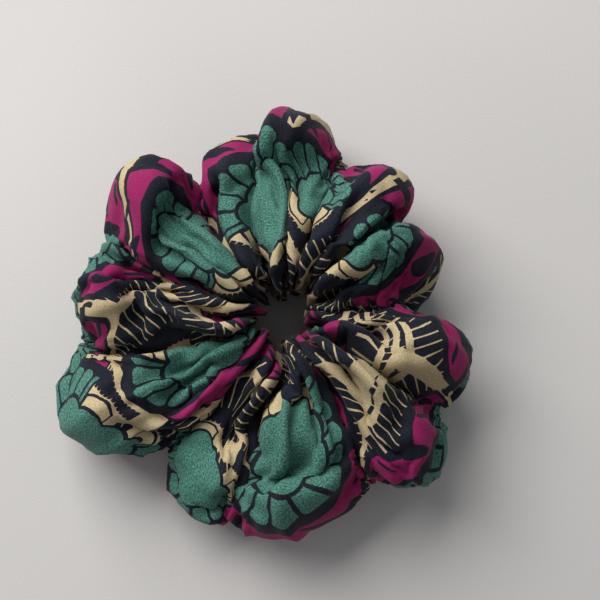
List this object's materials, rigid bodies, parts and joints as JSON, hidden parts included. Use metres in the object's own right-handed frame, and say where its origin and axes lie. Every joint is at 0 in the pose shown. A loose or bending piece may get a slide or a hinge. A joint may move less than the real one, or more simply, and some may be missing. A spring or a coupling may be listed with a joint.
{
  "type": "scrunchie",
  "caption": "Round ruched fabric hair tie: a gathered printed cloth tube over a stretchy elastic loop, with a central hair opening.",
  "frame": {"origin": "centre of the hair opening, level with the middle of the elastic band, when the ring lies relaxed", "axes": "+Z along the axis of the hair opening, away from the surface the ring lies on; the cover's end seam lies beside the fold 9 degrees clockwise of +X as seen from +Z; +Y completes the right-handed frame"},
  "size_m": [0.1135, 0.1222, 0.0433],
  "materials": {
    "printed_crepe": "matte",
    "braided_elastic": "matte",
    "navy_thread": "satin",
    "cream_thread": "satin"
  },
  "bodies": {
    "puff_01": {"cover_puff_01": "printed_crepe", "elastic_run_01": "braided_elastic", "long_seam_thread_01": "navy_thread", "elastic_lap_end": "braided_elastic", "elastic_zigzag_thread": "navy_thread", "end_seam_thread": "navy_thread", "closing_thread": "cream_thread"},
    "puff_02": {"cover_puff_02": "printed_crepe", "elastic_run_02": "braided_elastic", "long_seam_thread_02": "navy_thread"},
    "puff_03": {"cover_puff_03": "printed_crepe", "elastic_run_03": "braided_elastic", "long_seam_thread_03": "navy_thread"},
    "puff_04": {"cover_puff_04": "printed_crepe", "elastic_run_04": "braided_elastic", "long_seam_thread_04": "navy_thread"},
    "puff_05": {"cover_puff_05": "printed_crepe", "elastic_run_05": "braided_elastic", "long_seam_thread_05": "navy_thread"},
    "puff_06": {"cover_puff_06": "printed_crepe", "elastic_run_06": "braided_elastic", "long_seam_thread_06": "navy_thread"},
    "puff_07": {"cover_puff_07": "printed_crepe", "elastic_run_07": "braided_elastic", "long_seam_thread_07": "navy_thread"},
    "puff_08": {"cover_puff_08": "printed_crepe", "elastic_run_08": "braided_elastic", "long_seam_thread_08": "navy_thread"},
    "puff_09": {"cover_puff_09": "printed_crepe", "elastic_run_09": "braided_elastic", "long_seam_thread_09": "navy_thread"},
    "puff_10": {"cover_puff_10": "printed_crepe", "elastic_run_10": "braided_elastic", "long_seam_thread_10": "navy_thread"},
    "puff_11": {"cover_puff_11": "printed_crepe", "elastic_run_11": "braided_elastic", "long_seam_thread_11": "navy_thread"},
    "seam_end": {"cover_seam_end": "printed_crepe", "elastic_run_12": "braided_elastic"}
  },
  "joints": [
    {"name": "stretch_01", "type": "slide", "parent": "puff_01", "child": "puff_02", "axis": [-0.5483, 0.8363, 0], "range_m": [0, 0.0203], "stiffness_N_per_m": 143.8},
    {"name": "stretch_02", "type": "slide", "parent": "puff_02", "child": "puff_03", "axis": [-0.9563, 0.2924, 0], "range_m": [0, 0.01777], "stiffness_N_per_m": 165.1},
    {"name": "stretch_03", "type": "slide", "parent": "puff_03", "child": "puff_04", "axis": [-0.9681, -0.2504, 0], "range_m": [0, 0.0126], "stiffness_N_per_m": 235},
    {"name": "stretch_04", "type": "slide", "parent": "puff_04", "child": "puff_05", "axis": [-0.7518, -0.6593, 0], "range_m": [0, 0.01331], "stiffness_N_per_m": 222.2},
    {"name": "stretch_05", "type": "slide", "parent": "puff_05", "child": "puff_06", "axis": [-0.3214, -0.9469, 0], "range_m": [0, 0.01567], "stiffness_N_per_m": 188},
    {"name": "stretch_06", "type": "slide", "parent": "puff_06", "child": "puff_07", "axis": [0.2419, -0.9703, 0], "range_m": [0, 0.0159], "stiffness_N_per_m": 185.1},
    {"name": "stretch_07", "type": "slide", "parent": "puff_07", "child": "puff_08", "axis": [0.704, -0.7102, 0], "range_m": [0, 0.01378], "stiffness_N_per_m": 214.4},
    {"name": "stretch_08", "type": "slide", "parent": "puff_08", "child": "puff_09", "axis": [0.9613, -0.2756, 0], "range_m": [0, 0.01449], "stiffness_N_per_m": 203.7},
    {"name": "stretch_09", "type": "slide", "parent": "puff_09", "child": "puff_10", "axis": [0.9613, 0.2756, 0], "range_m": [0, 0.01637], "stiffness_N_per_m": 179.7},
    {"name": "stretch_10", "type": "slide", "parent": "puff_10", "child": "puff_11", "axis": [0.6593, 0.7518, 0], "range_m": [0, 0.0152], "stiffness_N_per_m": 194},
    {"name": "stretch_11", "type": "slide", "parent": "puff_11", "child": "seam_end", "axis": [0.1175, 0.9931, 0], "range_m": [0, 0.018], "stiffness_N_per_m": 162.9}
  ],
  "couplings": [
    {"joint": "stretch_02", "follows": "stretch_01", "ratio": 0.87547},
    {"joint": "stretch_03", "follows": "stretch_01", "ratio": 0.62066},
    {"joint": "stretch_04", "follows": "stretch_01", "ratio": 0.6558},
    {"joint": "stretch_05", "follows": "stretch_01", "ratio": 0.77207},
    {"joint": "stretch_06", "follows": "stretch_01", "ratio": 0.78362},
    {"joint": "stretch_07", "follows": "stretch_01", "ratio": 0.67916},
    {"joint": "stretch_08", "follows": "stretch_01", "ratio": 0.71411},
    {"joint": "stretch_09", "follows": "stretch_01", "ratio": 0.80668},
    {"joint": "stretch_10", "follows": "stretch_01", "ratio": 0.74893},
    {"joint": "stretch_11", "follows": "stretch_01", "ratio": 0.88688}
  ]
}
